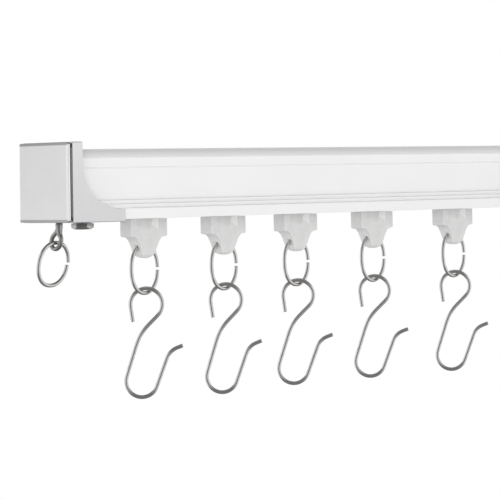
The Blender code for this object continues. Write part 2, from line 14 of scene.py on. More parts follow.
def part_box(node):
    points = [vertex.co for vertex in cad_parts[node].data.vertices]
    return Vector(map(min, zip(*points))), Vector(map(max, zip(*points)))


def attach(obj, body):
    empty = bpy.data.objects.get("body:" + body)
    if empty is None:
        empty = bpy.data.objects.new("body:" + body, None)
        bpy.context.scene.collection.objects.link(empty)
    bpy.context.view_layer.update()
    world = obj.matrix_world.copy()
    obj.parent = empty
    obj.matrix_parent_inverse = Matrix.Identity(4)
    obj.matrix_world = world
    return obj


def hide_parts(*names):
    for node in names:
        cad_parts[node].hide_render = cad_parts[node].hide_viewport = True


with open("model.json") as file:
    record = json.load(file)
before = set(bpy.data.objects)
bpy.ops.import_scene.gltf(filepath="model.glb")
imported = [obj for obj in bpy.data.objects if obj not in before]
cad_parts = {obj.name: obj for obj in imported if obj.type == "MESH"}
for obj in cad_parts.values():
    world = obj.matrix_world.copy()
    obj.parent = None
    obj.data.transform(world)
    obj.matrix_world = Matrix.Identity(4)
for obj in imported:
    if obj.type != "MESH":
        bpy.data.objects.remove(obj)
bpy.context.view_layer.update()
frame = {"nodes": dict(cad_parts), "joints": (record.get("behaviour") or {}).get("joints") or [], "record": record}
scene = bpy.context.scene
MM = 0.001
GLIDERS = sorted(int(n.rsplit("_", 1)[1]) for n in frame["nodes"] if n.startswith("glider_body_"))


def node_middle(node):
    lo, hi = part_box(node)
    return (lo + hi) / 2 / MM


def joint_point(name):
    for j in frame["joints"]:
        if j["name"] == name:
            return Vector(j["pos_m"]) / MM
    raise KeyError(name)


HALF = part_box("end_cap_right")[1].x / MM      # outer end face of the right cap

# ------------------------------------------------------------------ mesh helpers


def mesh_of(name, verts, faces):
    mesh = bpy.data.meshes.new(name)
    mesh.from_pydata([(x * MM, y * MM, z * MM) for x, y, z in verts], [], faces)
    bm = bmesh.new()
    bm.from_mesh(mesh)
    bmesh.ops.recalc_face_normals(bm, faces=bm.faces)
    bm.to_mesh(mesh)
    bm.free()
    return mesh


def prism(name, outline, axis, low, high):
    """A flat outline pushed along an axis. The outline is (y, z) for X, (x, z) for Y and (x, y) for Z."""
    place = {"X": lambda p, t: (t, p[0], p[1]), "Y": lambda p, t: (p[0], t, p[1]), "Z": lambda p, t: (p[0], p[1], t)}[axis]
    n = len(outline)
    verts = [place(p, low) for p in outline] + [place(p, high) for p in outline]
    faces = [tuple(range(n)), tuple(range(2 * n - 1, n - 1, -1))]
    faces += [(i, (i + 1) % n, n + (i + 1) % n, n + i) for i in range(n)]
    return mesh_of(name, verts, faces)


def loft(name, rings, closed=False):
    n = len(rings[0])
    verts = [p for ring in rings for p in ring]
    faces = []
    for k in range(len(rings) if closed else len(rings) - 1):
        a, b = k * n, ((k + 1) % len(rings)) * n
        faces += [(a + i, a + (i + 1) % n, b + (i + 1) % n, b + i) for i in range(n)]
    if not closed:
        faces.append(tuple(range(n - 1, -1, -1)))
        faces.append(tuple(range((len(rings) - 1) * n, len(rings) * n)))
    return mesh_of(name, verts, faces)


def revolve(name, profile, sides, axis):
    rings = []
    for k in range(sides):
        a = 2 * math.pi * k / sides
        c, s = math.cos(a), math.sin(a)
        rings.append([(r * c, h, r * s) if axis == "Y" else (r * c, r * s, h) for r, h in profile])
    return loft(name, rings, closed=True)


def disc(radius, sides, plane, level, centre=(0.0, 0.0), phase=0.0):
    out = []
    for k in range(sides):
        a = 2 * math.pi * k / sides + phase
        u, v = centre[0] + radius * math.cos(a), centre[1] + radius * math.sin(a)
        out.append({"X": (level, u, v), "Y": (u, level, v), "Z": (u, v, level)}[plane])
    return out


def arc(cx, cy, rx, ry, start, end, count):
    out = []
    for k in range(count):
        a = math.radians(start + (end - start) * k / (count - 1))
        out.append((cx + rx * math.cos(a), cy + ry * math.sin(a)))
    return out


def rounded_rect(x0, y0, x1, y1, r, count=8):
    return (arc(x1 - r, y1 - r, r, r, 0, 90, count) + arc(x0 + r, y1 - r, r, r, 90, 180, count)
            + arc(x0 + r, y0 + r, r, r, 180, 270, count) + arc(x1 - r, y0 + r, r, r, 270, 360, count))


def fillet(points, radius, count=3, least=12.0):
    """Rounds the corners of a closed 2-D outline."""
    out, n = [], len(points)
    for i in range(n):
        p = Vector(points[i])
        a, b = Vector(points[i - 1]) - p, Vector(points[(i + 1) % n]) - p
        turn = 180 - math.degrees(a.angle(b))
        if turn < least:
            out.append(tuple(p))
            continue
        d = min(radius * math.tan(math.radians(turn) / 2), 0.42 * a.length, 0.42 * b.length)
        p0, p1 = p + a.normalized() * d, p + b.normalized() * d
        for k in range(count + 1):
            t = k / count
            q = p0 * (1 - t) ** 2 + p * 2 * t * (1 - t) + p1 * t * t
            out.append(tuple(q))
    return out


def smooth_path(points, per=6):
    """A centripetal-like smooth curve through 3-D points."""
    pts = [Vector(p) for p in points]
    out = []
    for i in range(len(pts) - 1):
        p0, p1, p2, p3 = pts[max(i - 1, 0)], pts[i], pts[i + 1], pts[min(i + 2, len(pts) - 1)]
        for k in range(per):
            t = k / per
            out.append(0.5 * ((2 * p1) + (p2 - p0) * t + (2 * p0 - 5 * p1 + 4 * p2 - p3) * t * t + (3 * p1 - p0 - 3 * p2 + p3) * t ** 3))
    out.append(pts[-1])
    return out


def sweep(name, path, radii, sides, flat=1.0):
    """A wire along a path. radii is a number or one number per point; flat below 1 squeezes the section across its second axis."""
    points = [Vector(p) for p in path]
    n = len(points)
    tangents = [(points[min(i + 1, n - 1)] - points[max(i - 1, 0)]).normalized() for i in range(n)]
    side = tangents[0].orthogonal().normalized()
    rings = []
    for i in range(n):
        side = (side - tangents[i] * side.dot(tangents[i])).normalized()
        up = tangents[i].cross(side)
        r = radii[i] if isinstance(radii, (list, tuple)) else radii
        rings.append([tuple(points[i] + (side * math.cos(2 * math.pi * k / sides) + up * flat * math.sin(2 * math.pi * k / sides)) * r)
                      for k in range(sides)])
    mesh = loft(name, rings)
    run, data = 0.0, []
    for i in range(n):
        run += (points[i] - points[i - 1]).length if i else 0.0
        r = radii[i] if isinstance(radii, (list, tuple)) else radii
        for k in range(sides):
            a = 2 * math.pi * k / sides
            data += [r * math.cos(a), r * math.sin(a), run]
    mesh.attributes.new("round_and_along", "FLOAT_VECTOR", "POINT").data.foreach_set("vector", data)
    return mesh


def wire(name, path, radius, sides=20, end=0.22):
    """A drawn wire with lightly broken cut ends."""
    points = [Vector(p) for p in path]
    head, tail = points[0], points[-1]
    d0, d1 = (points[1] - head).normalized(), (points[-2] - tail).normalized()
    front = [head, head + d0 * end * 0.35, head + d0 * end]
    back = [tail + d1 * end, tail + d1 * end * 0.35, tail]
    inner = [p for p in points[1:-1] if (p - head).length > end * 1.4 and (p - tail).length > end * 1.4]
    full = front + inner + back
    radii = [radius * 0.80, radius * 0.95, radius] + [radius] * len(inner) + [radius, radius * 0.95, radius * 0.80]
    return sweep(name, full, radii, sides)


def boolean(name, base, steps):
    solid = bpy.data.objects.new("work", base)
    scene.collection.objects.link(solid)
    tools = []
    for operation, mesh in steps:
        tool = bpy.data.objects.new("tool", mesh)
        scene.collection.objects.link(tool)
        m = solid.modifiers.new(operation.lower(), "BOOLEAN")
        m.operation = operation
        m.solver = "EXACT"
        m.object = tool
        tools.append(tool)
    bpy.context.view_layer.update()
    result = bpy.data.meshes.new_from_object(solid.evaluated_get(bpy.context.evaluated_depsgraph_get()))
    result.name = name
    for o in tools + [solid]:
        bpy.data.objects.remove(o)
    bm = bmesh.new()
    bm.from_mesh(result)
    bmesh.ops.remove_doubles(bm, verts=bm.verts, dist=2e-6)
    bmesh.ops.dissolve_degenerate(bm, edges=bm.edges, dist=2e-6)
    bm.to_mesh(result)
    bm.free()
    result.materials.clear()
    return result


def soften(mesh, width, angle=32.0, segments=2):
    """Rounds a mesh's sharp edges by a real bevel of this width in millimetres, and keeps its flats flat in shading."""
    if "custom_normal" in mesh.attributes:
        mesh.attributes.remove(mesh.attributes["custom_normal"])
    mesh.shade_smooth()
    if not width:
        mesh.set_sharp_from_angle(angle=math.radians(38.0))
    work = bpy.data.objects.new("work", mesh)
    scene.collection.objects.link(work)
    if width:
        b = work.modifiers.new("bevel", "BEVEL")
        b.width = width * MM
        b.segments = segments
        b.limit_method = "ANGLE"
        b.angle_limit = math.radians(angle)
        b.use_clamp_overlap = False
        b.miter_outer = "MITER_ARC"
    w = work.modifiers.new("weighted", "WEIGHTED_NORMAL")
    w.keep_sharp = True
    w.weight = 80
    bpy.context.view_layer.update()
    result = bpy.data.meshes.new_from_object(work.evaluated_get(bpy.context.evaluated_depsgraph_get()), preserve_all_data_layers=True,
                                             depsgraph=bpy.context.evaluated_depsgraph_get())
    result.name = mesh.name
    bpy.data.objects.remove(work)
    return result


def mirrored(name, mesh):
    copy = mesh.copy()
    copy.name = name
    copy.transform(Matrix.Scale(-1, 4, Vector((1, 0, 0))))
    copy.flip_normals()
    return copy


def place(name, mesh, mat, node, body, slot_name, location=(0.0, 0.0, 0.0), rotation=None, smooth=40.0, weighted=False):
    """Puts a fine piece where its CAD node is, hides the node, and lets it ride on the node's body."""
    if not weighted:
        mesh.shade_smooth()
        mesh.set_sharp_from_angle(angle=math.radians(smooth))
    if not mesh.materials:
        mesh.materials.append(mat)
    obj = bpy.data.objects.new(name, mesh)
    obj.location = Vector(location) * MM
    if rotation is not None:
        obj.rotation_euler = rotation
    scene.collection.objects.link(obj)
    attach(obj, body)
    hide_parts(node)
    return obj


# ------------------------------------------------------------------ materials

class Nodes:
    """A short way to write node trees: n.add(type, inputs..., settings) and n.put."""

    def __init__(self, name):
        self.mat = bpy.data.materials.new(name)
        self.mat.use_nodes = True
        self.tree = self.mat.node_tree
        self.tree.nodes.clear()
        self.out = self.tree.nodes.new("ShaderNodeOutputMaterial")
        self.bsdf = self.tree.nodes.new("ShaderNodeBsdfPrincipled")
        self.tree.links.new(self.bsdf.outputs[0], self.out.inputs[0])
        self.coord = self.tree.nodes.new("ShaderNodeTexCoord").outputs["Object"]
        self.geometry = self.tree.nodes.new("ShaderNodeNewGeometry")

    def put(self, socket, value):
        if isinstance(value, bpy.types.NodeSocket):
            self.tree.links.new(value, socket)
        else:
            socket.default_value = value

    def add(self, kind, inputs=None, **settings):
        node = self.tree.nodes.new(kind)
        for k, v in settings.items():
            setattr(node, k, v)
        for k, v in (inputs or {}).items():
            self.put(node.inputs[k], v)
        return node

    def scaled(self, sx, sy, sz):
        m = self.add("ShaderNodeMapping", {"Vector": self.coord, "Scale": (sx, sy, sz)})
        return m.outputs[0]

    def noise(self, scale, detail=3.0, rough=0.55, vector=None, distortion=0.0):
        return self.add("ShaderNodeTexNoise", {"Vector": vector or self.coord, "Scale": scale, "Detail": detail, "Roughness": rough,
                                               "Distortion": distortion}).outputs["Fac"]

    def voronoi(self, scale, vector=None, feature="DISTANCE_TO_EDGE"):
        return self.add("ShaderNodeTexVoronoi", {"Vector": vector or self.coord, "Scale": scale}, feature=feature).outputs["Distance"]

    def ramp(self, value, stops):
        r = self.add("ShaderNodeValToRGB", {"Fac": value})
        e = r.color_ramp.elements
        while len(e) > len(stops):
            e.remove(e[-1])
        while len(e) < len(stops):
            e.new(0.5)
        for k, (pos, col) in enumerate(stops):
            e[k].position = pos
            e[k].color = (col, col, col, 1.0) if isinstance(col, (int, float)) else (*col, 1.0)
        return r.outputs["Color"]

    def to_range(self, value, low, high, start=0.0, end=1.0):
        return self.add("ShaderNodeMapRange", {"Value": value, "From Min": start, "From Max": end, "To Min": low, "To Max": high}).outputs["Result"]

    def math(self, op, a, b=0.0):
        m = self.tree.nodes.new("ShaderNodeMath")
        m.operation = op
        self.put(m.inputs[0], a)
        self.put(m.inputs[1], b)
        return m.outputs[0]

    def mix(self, fac, a, b, blend="MIX"):
        m = self.add("ShaderNodeMix", data_type="RGBA", blend_type=blend)
        self.put(m.inputs["Factor"], fac)
        self.put(m.inputs[6], a)
        self.put(m.inputs[7], b)
        return m.outputs[2]

    def bump(self, height, strength, distance, normal=None):
        b = self.add("ShaderNodeBump", {"Height": height, "Strength": strength, "Distance": distance})
        if normal is not None:
            self.tree.links.new(normal, b.inputs["Normal"])
        return b.outputs[0]

    def edges(self, radius_mm, gain=1.0):
        """About 0 on flats and 1 on outer edges, from how far the rounded normal leans away from the true one."""
        bev = self.add("ShaderNodeBevel", {"Radius": radius_mm * MM}, samples=4)
        dot = self.add("ShaderNodeVectorMath", operation="DOT_PRODUCT")
        self.put(dot.inputs[0], bev.outputs[0])
        self.put(dot.inputs[1], self.geometry.outputs["Normal"])
        lean = self.math("SUBTRACT", 1.0, dot.outputs["Value"])
        return self.add("ShaderNodeClamp", {"Value": self.math("MULTIPLY", lean, 3.0 * gain)}).outputs[0]

    def set(self, **values):
        names = {"colour": "Base Color", "rough": "Roughness", "metal": "Metallic", "normal": "Normal", "coat": "Coat Weight",
                 "coat_rough": "Coat Roughness", "sss": "Subsurface Weight", "sss_radius": "Subsurface Radius", "sss_scale": "Subsurface Scale",
                 "transmission": "Transmission Weight", "ior": "IOR", "aniso": "Anisotropic", "specular": "Specular IOR Level",
                 "tangent": "Tangent"}
        for k, v in values.items():
            self.put(self.bsdf.inputs[names[k]], v)


def white_paint():
    """Satin white paint on an extrusion: faint orange peel, very faint draw lines, small tone drift and a painted
    highlight along its edges.
    """
    n = Nodes("satin_white_paint")
    drift = n.noise(26.0, 3.0)
    along = n.noise(1.0, 4.0, 0.6, n.scaled(6.0, 900.0, 900.0))
    peel = n.noise(1500.0, 2.0, 0.5)
    grime = n.ramp(n.noise(70.0, 6.0, 0.62), [(0.46, 0.0), (0.80, 1.0)])
    base = n.mix(n.to_range(drift, 0.0, 1.0, 0.3, 0.7), (0.790, 0.792, 0.792, 1), (0.815, 0.815, 0.813, 1))
    base = n.mix(n.math("MULTIPLY", grime, 0.045), base, (0.60, 0.60, 0.585, 1))
    # painted highlight: the paint is lightened wherever the bevel mask finds an edge, standing in for the light that
    # edges catch
    edge = n.edges(0.34)
    base = n.mix(n.math("MULTIPLY", edge, 0.9), base, (0.97, 0.97, 0.96, 1))
    rough = n.math("ADD", n.to_range(peel, 0.30, 0.40, 0.3, 0.7), n.math("MULTIPLY", along, 0.05))
    h = n.math("ADD", n.math("MULTIPLY", peel, 0.6), n.math("MULTIPLY", along, 0.4))
    n.set(colour=base, rough=rough, metal=0.0, specular=0.5, coat=0.12, coat_rough=0.22, normal=n.bump(h, 0.10, 0.00004))
    return n.mat


def satin_metal(name, top, bottom, pressed):
    """Satin plated die casting: tiny blast grain, soft cloudiness, a slow change of tone from top to bottom that paints
    in the face's shading, and edges that are a little polished and carry a painted highlight.
    """
    n = Nodes(name)
    grain = n.noise(3800.0, 2.0, 0.6)
    cloud = n.noise(95.0, 5.0, 0.6)
    streak = n.noise(1.0, 3.0, 0.6, n.scaled(420.0, 420.0, 28.0))
    xyz = n.add("ShaderNodeSeparateXYZ", {"Vector": n.coord})
    # painted shade: the tone moves from the top colour to the bottom colour down the part, standing in for how the
    # light falls across it
    low = n.to_range(xyz.outputs["Z"], 1.0, 0.0, -0.029, 0.003)
    base = n.mix(low, top, bottom)
    base = n.mix(n.to_range(cloud, 0.0, 0.07, 0.3, 0.7), base, (0.40, 0.40, 0.41, 1))
    base = n.mix(n.math("MULTIPLY", n.to_range(grain, 0.0, 1.0, 0.35, 0.65), 0.07), base, (0.42, 0.42, 0.43, 1))
    edge = n.edges(0.30)
    if pressed:     # painted light on the pressing: its top and bottom chamfers are darkened as painted shade, its face is lightened towards the front (-Y) as painted light, and its side chamfers are lightened as a painted highlight
        facing = n.add("ShaderNodeSeparateXYZ", {"Vector": n.geometry.outputs["True Normal"]})
        level = n.math("MINIMUM", n.math("MULTIPLY", n.math("ABSOLUTE", facing.outputs["Z"]), 4.0), 1.0)
        # painted shade on the top and bottom chamfers
        base = n.mix(n.math("MULTIPLY", level, 0.62), base, (0.22, 0.22, 0.22, 1))
        # painted light: lighter towards the front (-Y)
        base = n.mix(n.to_range(xyz.outputs["Y"], 0.0, 0.12, 0.016, -0.016), base, (0.80, 0.80, 0.80, 1))
        # painted highlight on the side chamfers
        side_chamfer_highlight = n.to_range(n.math("ABSOLUTE", facing.outputs["X"]), 1.0, 0.0, 0.93, 0.985)
        side_chamfer_highlight = n.math("MULTIPLY", side_chamfer_highlight, n.math("SUBTRACT", 1.0, level))
        base = n.mix(side_chamfer_highlight, base, (0.78, 0.78, 0.78, 1))
        edge = n.math("MULTIPLY", edge, n.math("SUBTRACT", 1.0, level))
    # painted highlight: the metal is lightened along its edges; the lower roughness there is the real polish
    base = n.mix(n.math("MULTIPLY", edge, 0.6), base, (0.84, 0.84, 0.84, 1))
    rough = n.to_range(cloud, 0.29, 0.33, 0.3, 0.7)
    rough = n.math("ADD", rough, n.to_range(streak, -0.008, 0.008, 0.3, 0.7))
    rough = n.math("SUBTRACT", rough, n.math("MULTIPLY", edge, 0.08))
    h = n.math("ADD", n.math("MULTIPLY", grain, 0.85), n.math("MULTIPLY", streak, 0.15))
    n.set(colour=base, rough=rough, metal=1.0, normal=n.bump(h, 0.12, 0.00003))
    return n.mat


def nickel(name, light, dark, smooth, dull):
    """Nickel-plated drawn wire: draw lines along its length, dull patches, a few pits and a slight warm cast."""
    n = Nodes(name)
    run = n.add("ShaderNodeAttribute", attribute_name="round_and_along").outputs["Vector"]
    lines = n.noise(3.2, 3.0, 0.6, n.add("ShaderNodeMapping", {"Vector": run, "Scale": (1.0, 1.0, 0.03)}).outputs[0])
    patch = n.noise(0.55, 4.0, 0.55, run)
    pits = n.ramp(n.noise(5.0, 2.0, 0.5, run), [(0.24, 1.0), (0.31, 0.0)])
    base = n.mix(n.to_range(patch, 0.0, 1.0, 0.35, 0.7), light, dark)
    base = n.mix(n.math("MULTIPLY", pits, 0.30), base, (0.22, 0.21, 0.20, 1))
    base = n.mix(n.math("MULTIPLY", n.to_range(lines, 0.0, 1.0, 0.5, 0.75), 0.15), base, (0.40, 0.39, 0.38, 1))
    rough = n.math("ADD", n.to_range(patch, smooth, dull, 0.35, 0.7), n.math("MULTIPLY", pits, 0.12))
    n.set(colour=base, rough=rough, metal=1.0, normal=n.bump(lines, 0.06, 0.00003))
    return n.mat


def plated_steel():
    """Plated fastener steel: turned grain, a blotchy tone and a painted highlight on its edges."""
    n = Nodes("plated_steel")
    turn = n.noise(1.0, 3.0, 0.6, n.scaled(900.0, 900.0, 6000.0))
    blot = n.noise(520.0, 5.0, 0.6)
    base = n.mix(n.to_range(blot, 0.0, 1.0, 0.3, 0.7), (0.46, 0.45, 0.445, 1), (0.33, 0.32, 0.315, 1))
    # painted highlight: the steel is lightened along its edges
    edge = n.edges(0.22)
    base = n.mix(n.math("MULTIPLY", edge, 0.5), base, (0.78, 0.77, 0.76, 1))
    rough = n.to_range(blot, 0.18, 0.36, 0.3, 0.7)
    h = n.math("ADD", n.math("MULTIPLY", turn, 0.6), n.math("MULTIPLY", blot, 0.4))
    n.set(colour=base, rough=rough, metal=1.0, normal=n.bump(h, 0.15, 0.00004))
    return n.mat


def nylon(name, light, dark, through):
    """Milky moulded nylon: light passes through it, with flow clouding, a fine spark texture, edges that are slightly
    polished and carry a painted highlight, painted light and shade on the recess slopes and the lower tongue, and a
    faint painted glow.
    """
    n = Nodes(name)
    flow = n.noise(150.0, 4.0, 0.55, distortion=0.8)
    spark = n.noise(2200.0, 3.0, 0.6)
    speck = n.ramp(n.noise(900.0, 2.0, 0.5), [(0.66, 0.0), (0.74, 1.0)])
    base = n.mix(n.to_range(flow, 0.0, 1.0, 0.3, 0.7), light, dark)
    base = n.mix(n.math("MULTIPLY", speck, 0.15), base, (0.60, 0.59, 0.56, 1))
    xyz = n.add("ShaderNodeSeparateXYZ", {"Vector": n.coord})
    # painted light: the nylon is lightened down the tongue towards its tip, leaving the part under the rail darker as
    # painted shade
    base = n.mix(n.to_range(xyz.outputs["Z"], 0.0, 0.10, -0.0375, -0.0435), base, (0.95, 0.95, 0.947, 1))
    # painted light and shade: faces that turn to the right (+X) are darkened and faces that turn to the left (-X) are
    # lightened, as a soft light from the left would shade them
    facing = n.add("ShaderNodeSeparateXYZ", {"Vector": n.geometry.outputs["True Normal"]})
    front = n.math("GREATER_THAN", n.math("ABSOLUTE", facing.outputs["Y"]), 0.5)
    painted_slope_shade = n.math("MULTIPLY", n.to_range(facing.outputs["X"], 0.0, 1.0, 0.05, 0.20), front)
    lit = n.math("MULTIPLY", n.to_range(facing.outputs["X"], 1.0, 0.0, -0.30, -0.03), front)
    base = n.mix(n.math("MULTIPLY", painted_slope_shade, 0.12), base, (0.30, 0.30, 0.30, 1))
    base = n.mix(n.math("MULTIPLY", lit, 0.65), base, (0.97, 0.97, 0.967, 1))
    edge = n.edges(0.25)
    # painted highlight: the nylon is lightened along its edges; the lower roughness there is the real polish
    base = n.mix(n.math("MULTIPLY", edge, 0.25), base, (0.96, 0.96, 0.95, 1))
    rough = n.math("SUBTRACT", n.to_range(spark, 0.34, 0.46, 0.3, 0.7), n.math("MULTIPLY", edge, 0.10))
    h = n.math("ADD", n.math("MULTIPLY", spark, 0.5), n.math("MULTIPLY", flow, 0.5))
    relief = n.bump(h, 0.10, 0.00005)
    n.set(colour=base, rough=rough, metal=0.0, specular=0.4, normal=relief)
    glow = n.add("ShaderNodeBsdfTranslucent", {"Color": base, "Normal": relief})
    # painted light: a faint emission makes the nylon glow, standing in for light coming through it
    painted_glow = n.add("ShaderNodeEmission", {"Color": base, "Strength": 0.30 * through})
    first = n.add("ShaderNodeMixShader", {0: through})
    n.tree.links.new(n.bsdf.outputs[0], first.inputs[1])
    n.tree.links.new(glow.outputs[0], first.inputs[2])
    both = n.add("ShaderNodeAddShader")
    n.tree.links.new(first.outputs[0], both.inputs[0])
    n.tree.links.new(painted_glow.outputs[0], both.inputs[1])
    n.tree.links.new(both.outputs[0], n.out.inputs[0])
    return n.mat


WHITE = white_paint()
SATIN = satin_metal("satin_metal_casting", (0.67, 0.67, 0.67, 1), (0.605, 0.603, 0.615, 1), False)
PLATE = satin_metal("satin_metal_plate", (0.60, 0.60, 0.60, 1), (0.622, 0.622, 0.624, 1), True)
WIRE = nickel("bright_nickel_wire", (0.58, 0.573, 0.567, 1), (0.50, 0.493, 0.487, 1), 0.15, 0.24)
EYE = nickel("dull_nickel_eye", (0.34, 0.335, 0.33, 1), (0.28, 0.276, 0.272, 1), 0.34, 0.46)
STEEL = plated_steel()
NYLON = nylon("milky_glider_nylon", (0.735, 0.735, 0.732, 1), (0.67, 0.67, 0.667, 1), 0.45)
WHEEL = nylon("white_wheel_nylon", (0.84, 0.84, 0.83, 1), (0.78, 0.78, 0.77, 1), 0.2)
CAD_MATERIAL = {"white_rail": WHITE, "satin_metal": SATIN, "bright_wire": WIRE, "plain_steel": STEEL, "glider_nylon": NYLON,
                "wheel_nylon": WHEEL}
for row in frame["record"]["subparts"]:
    node = frame["nodes"][row["node"]]
    node.data.materials.clear()
    node.data.materials.append(CAD_MATERIAL[row["material_slot"]])

# ------------------------------------------------------------------ rail


def rail_outline():
    end = math.radians(148.0)
    r = 3.5 / (1 - math.sin(end))
    pts = arc(-9.5 - r * math.cos(end), -r, r, r, 90, 148.0, 26)
    tail = [(-9.42, -3.62), (-9.1, -3.74), (-9.1, -7.38), (-9.22, -7.45), (-9.32, -7.55), (-9.36, -7.7), (-9.32, -7.85), (-9.22, -7.95),
            (-9.1, -8.02)]
    wall = -9.1
    steps = []
    for y, z in ((-11.0, -20.75), (-13.0, -22.35), (-15.0, -24.05)):
        steps += [(wall, z + 0.60), (wall + 0.05, z + 0.38), (wall, z + 0.14), (y + 0.24, z), (y + 0.07, z - 0.07), (y, z - 0.24)]
        wall = y
    steps += [(-15.0, -28.4), (-2.5, -28.4), (-2.5, -26.4), (-6.8, -26.4), (-6.8, -16.4), (6.8, -16.4), (6.8, -26.4), (2.5, -26.4),
              (2.5, -28.4), (15.0, -28.4), (15.0, 0.0)]
    body = [pts[-1]] + tail + steps + [pts[0]]
    rounded = fillet(body, 0.18, 4)
    return pts[1:-1] + rounded


def rail_mesh():
    lo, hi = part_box("rail")
    x0, x1 = lo.x / MM, hi.x / MM
    body = prism("rail_fine", rail_outline(), "X", x0, x1)
    holes = ([(-7.4, -4.2), (-4.6, -1.9), (13.3, -1.9), (13.3, -14.8), (-7.4, -14.8)],
             [(8.4, -16.3), (13.3, -16.3), (13.3, -26.7), (8.4, -26.7)],
             [(-8.5, -26.7), (-13.3, -26.7), (-13.3, -25.9), (-11.0, -24.4), (-8.5, -22.8)])
    steps = [("DIFFERENCE", prism("hole", fillet(h, 0.5, 4), "X", x0 - 5, x1 + 5)) for h in holes]
    return boolean("rail_fine", body, steps)


place("rail_extrusion", rail_mesh(), WHITE, "rail", "track", "white_rail", smooth=30)

# ------------------------------------------------------------------ end caps and cover plates


def cap_mesh():
    """The left end cap, X from its outer end."""
    top, bottom, foot, ft, length, sweep_top, d = 2.8, -29.3, 27.1, -24.35, 5.5, -7.2, 16.0
    side = arc(0.75, top - 0.5, 0.5, 0.5, 180, 90, 8)
    side += arc(length - 0.35, top - 0.35, 0.35, 0.35, 90, 0, 6)
    side += arc(foot, sweep_top, foot - length, sweep_top - ft, 180, 270, 72)
    side += arc(foot - 0.4, bottom + 0.4, 0.4, 0.4, 0, -90, 6)
    side += arc(0.75, bottom + 0.5, 0.5, 0.5, 270, 180, 8)
    body = prism("cap", side, "Y", -d - 3, d + 3)
    square = prism("square", rounded_rect(-d, bottom, d, top, 0.3, 6), "X", -2, foot + 2)
    e = 0.3
    room = prism("rail_room", [(-9.7, 9.0), (-9.7, -20.3), (-11.3, -21.0), (-13.3, -22.6), (-15.0 - e, -24.2),
                               (-15.0 - e, -28.65), (15.0 + e, -28.65), (15.0 + e, 9.0)], "X", 5.8, foot + 4)
    plug = prism("plug", [(-6.4, -26.1), (-6.4, -16.8), (6.4, -16.8), (6.4, -26.1), (2.1, -26.1), (2.1, -28.95), (-2.1, -28.95),
                          (-2.1, -26.1)], "X", 4.8, 13.0)
    steps = [("INTERSECT", square), ("DIFFERENCE", room), ("UNION", plug)]
    steps.append(("DIFFERENCE", loft("screw_hole", [disc(2.25, 32, "Z", z, (17.7, 0.0)) for z in (-32.0, -27.5)])))
    steps.append(("DIFFERENCE", loft("eye_hole", [disc(1.15, 24, "Z", z, (4.5, -1.5)) for z in (-32.0, -23.3)])))
    for y in (-9.0, 9.0):
        steps.append(("DIFFERENCE", loft("peg_hole", [disc(1.7, 24, "X", x, (y, (top + bottom) / 2)) for x in (-2.0, 4.4)])))
    mesh = soften(boolean("end_cap_fine", body, steps), 0.13, 34.0, 3)
    mesh.transform(Matrix.Translation((-HALF * MM, 0, 0)))
    return mesh


def plate_mesh():
    mid, half = (2.8 - 29.3) / 2, 15.85
    # the face, a broad shallow chamfer with eased corners, the side and the undercut behind it
    rings = [(-2.2, half - 1.20, 0.30), (-2.190, half - 1.11, 0.34), (-2.155, half - 1.02, 0.38), (-1.735, half - 0.12, 0.86),
             (-1.68, half - 0.035, 0.93), (-1.60, half, 0.95), (-1.05, half, 0.95), (-0.98, half - 0.07, 0.9), (-0.98, half - 1.6, 0.6),
             (-0.1, half - 1.6, 0.6)]
    loops = [[(x, y, z) for y, z in rounded_rect(-h - 0.13, mid - h, h + 0.13, mid + h, r, 9)] for x, h, r in rings]
    plate = loft("cover_plate_fine", loops)
    steps = [("UNION", loft("peg", [disc(1.4, 24, "X", x, (y, mid)) for x in (-1.0, 4.0)])) for y in (-9.0, 9.0)]
    mesh = boolean("cover_plate_fine", plate, steps)
    mesh.transform(Matrix.Translation((-HALF * MM, 0, 0)))
    return soften(mesh, 0.0)


cap, plate = cap_mesh(), plate_mesh()
for side in ("left", "right"):
    c = cap if side == "left" else mirrored("end_cap_fine_right", cap)
    p = plate if side == "left" else mirrored("cover_plate_fine_right", plate)
    place("end_cap_casting_" + side, c, SATIN, "end_cap_" + side, "track", "satin_metal", weighted=side == "left", smooth=50)
    place("cover_plate_pressing_" + side, p, PLATE, "cover_plate_" + side, "track", "satin_metal", weighted=side == "left", smooth=50)

# ------------------------------------------------------------------ screws, nuts and eyes


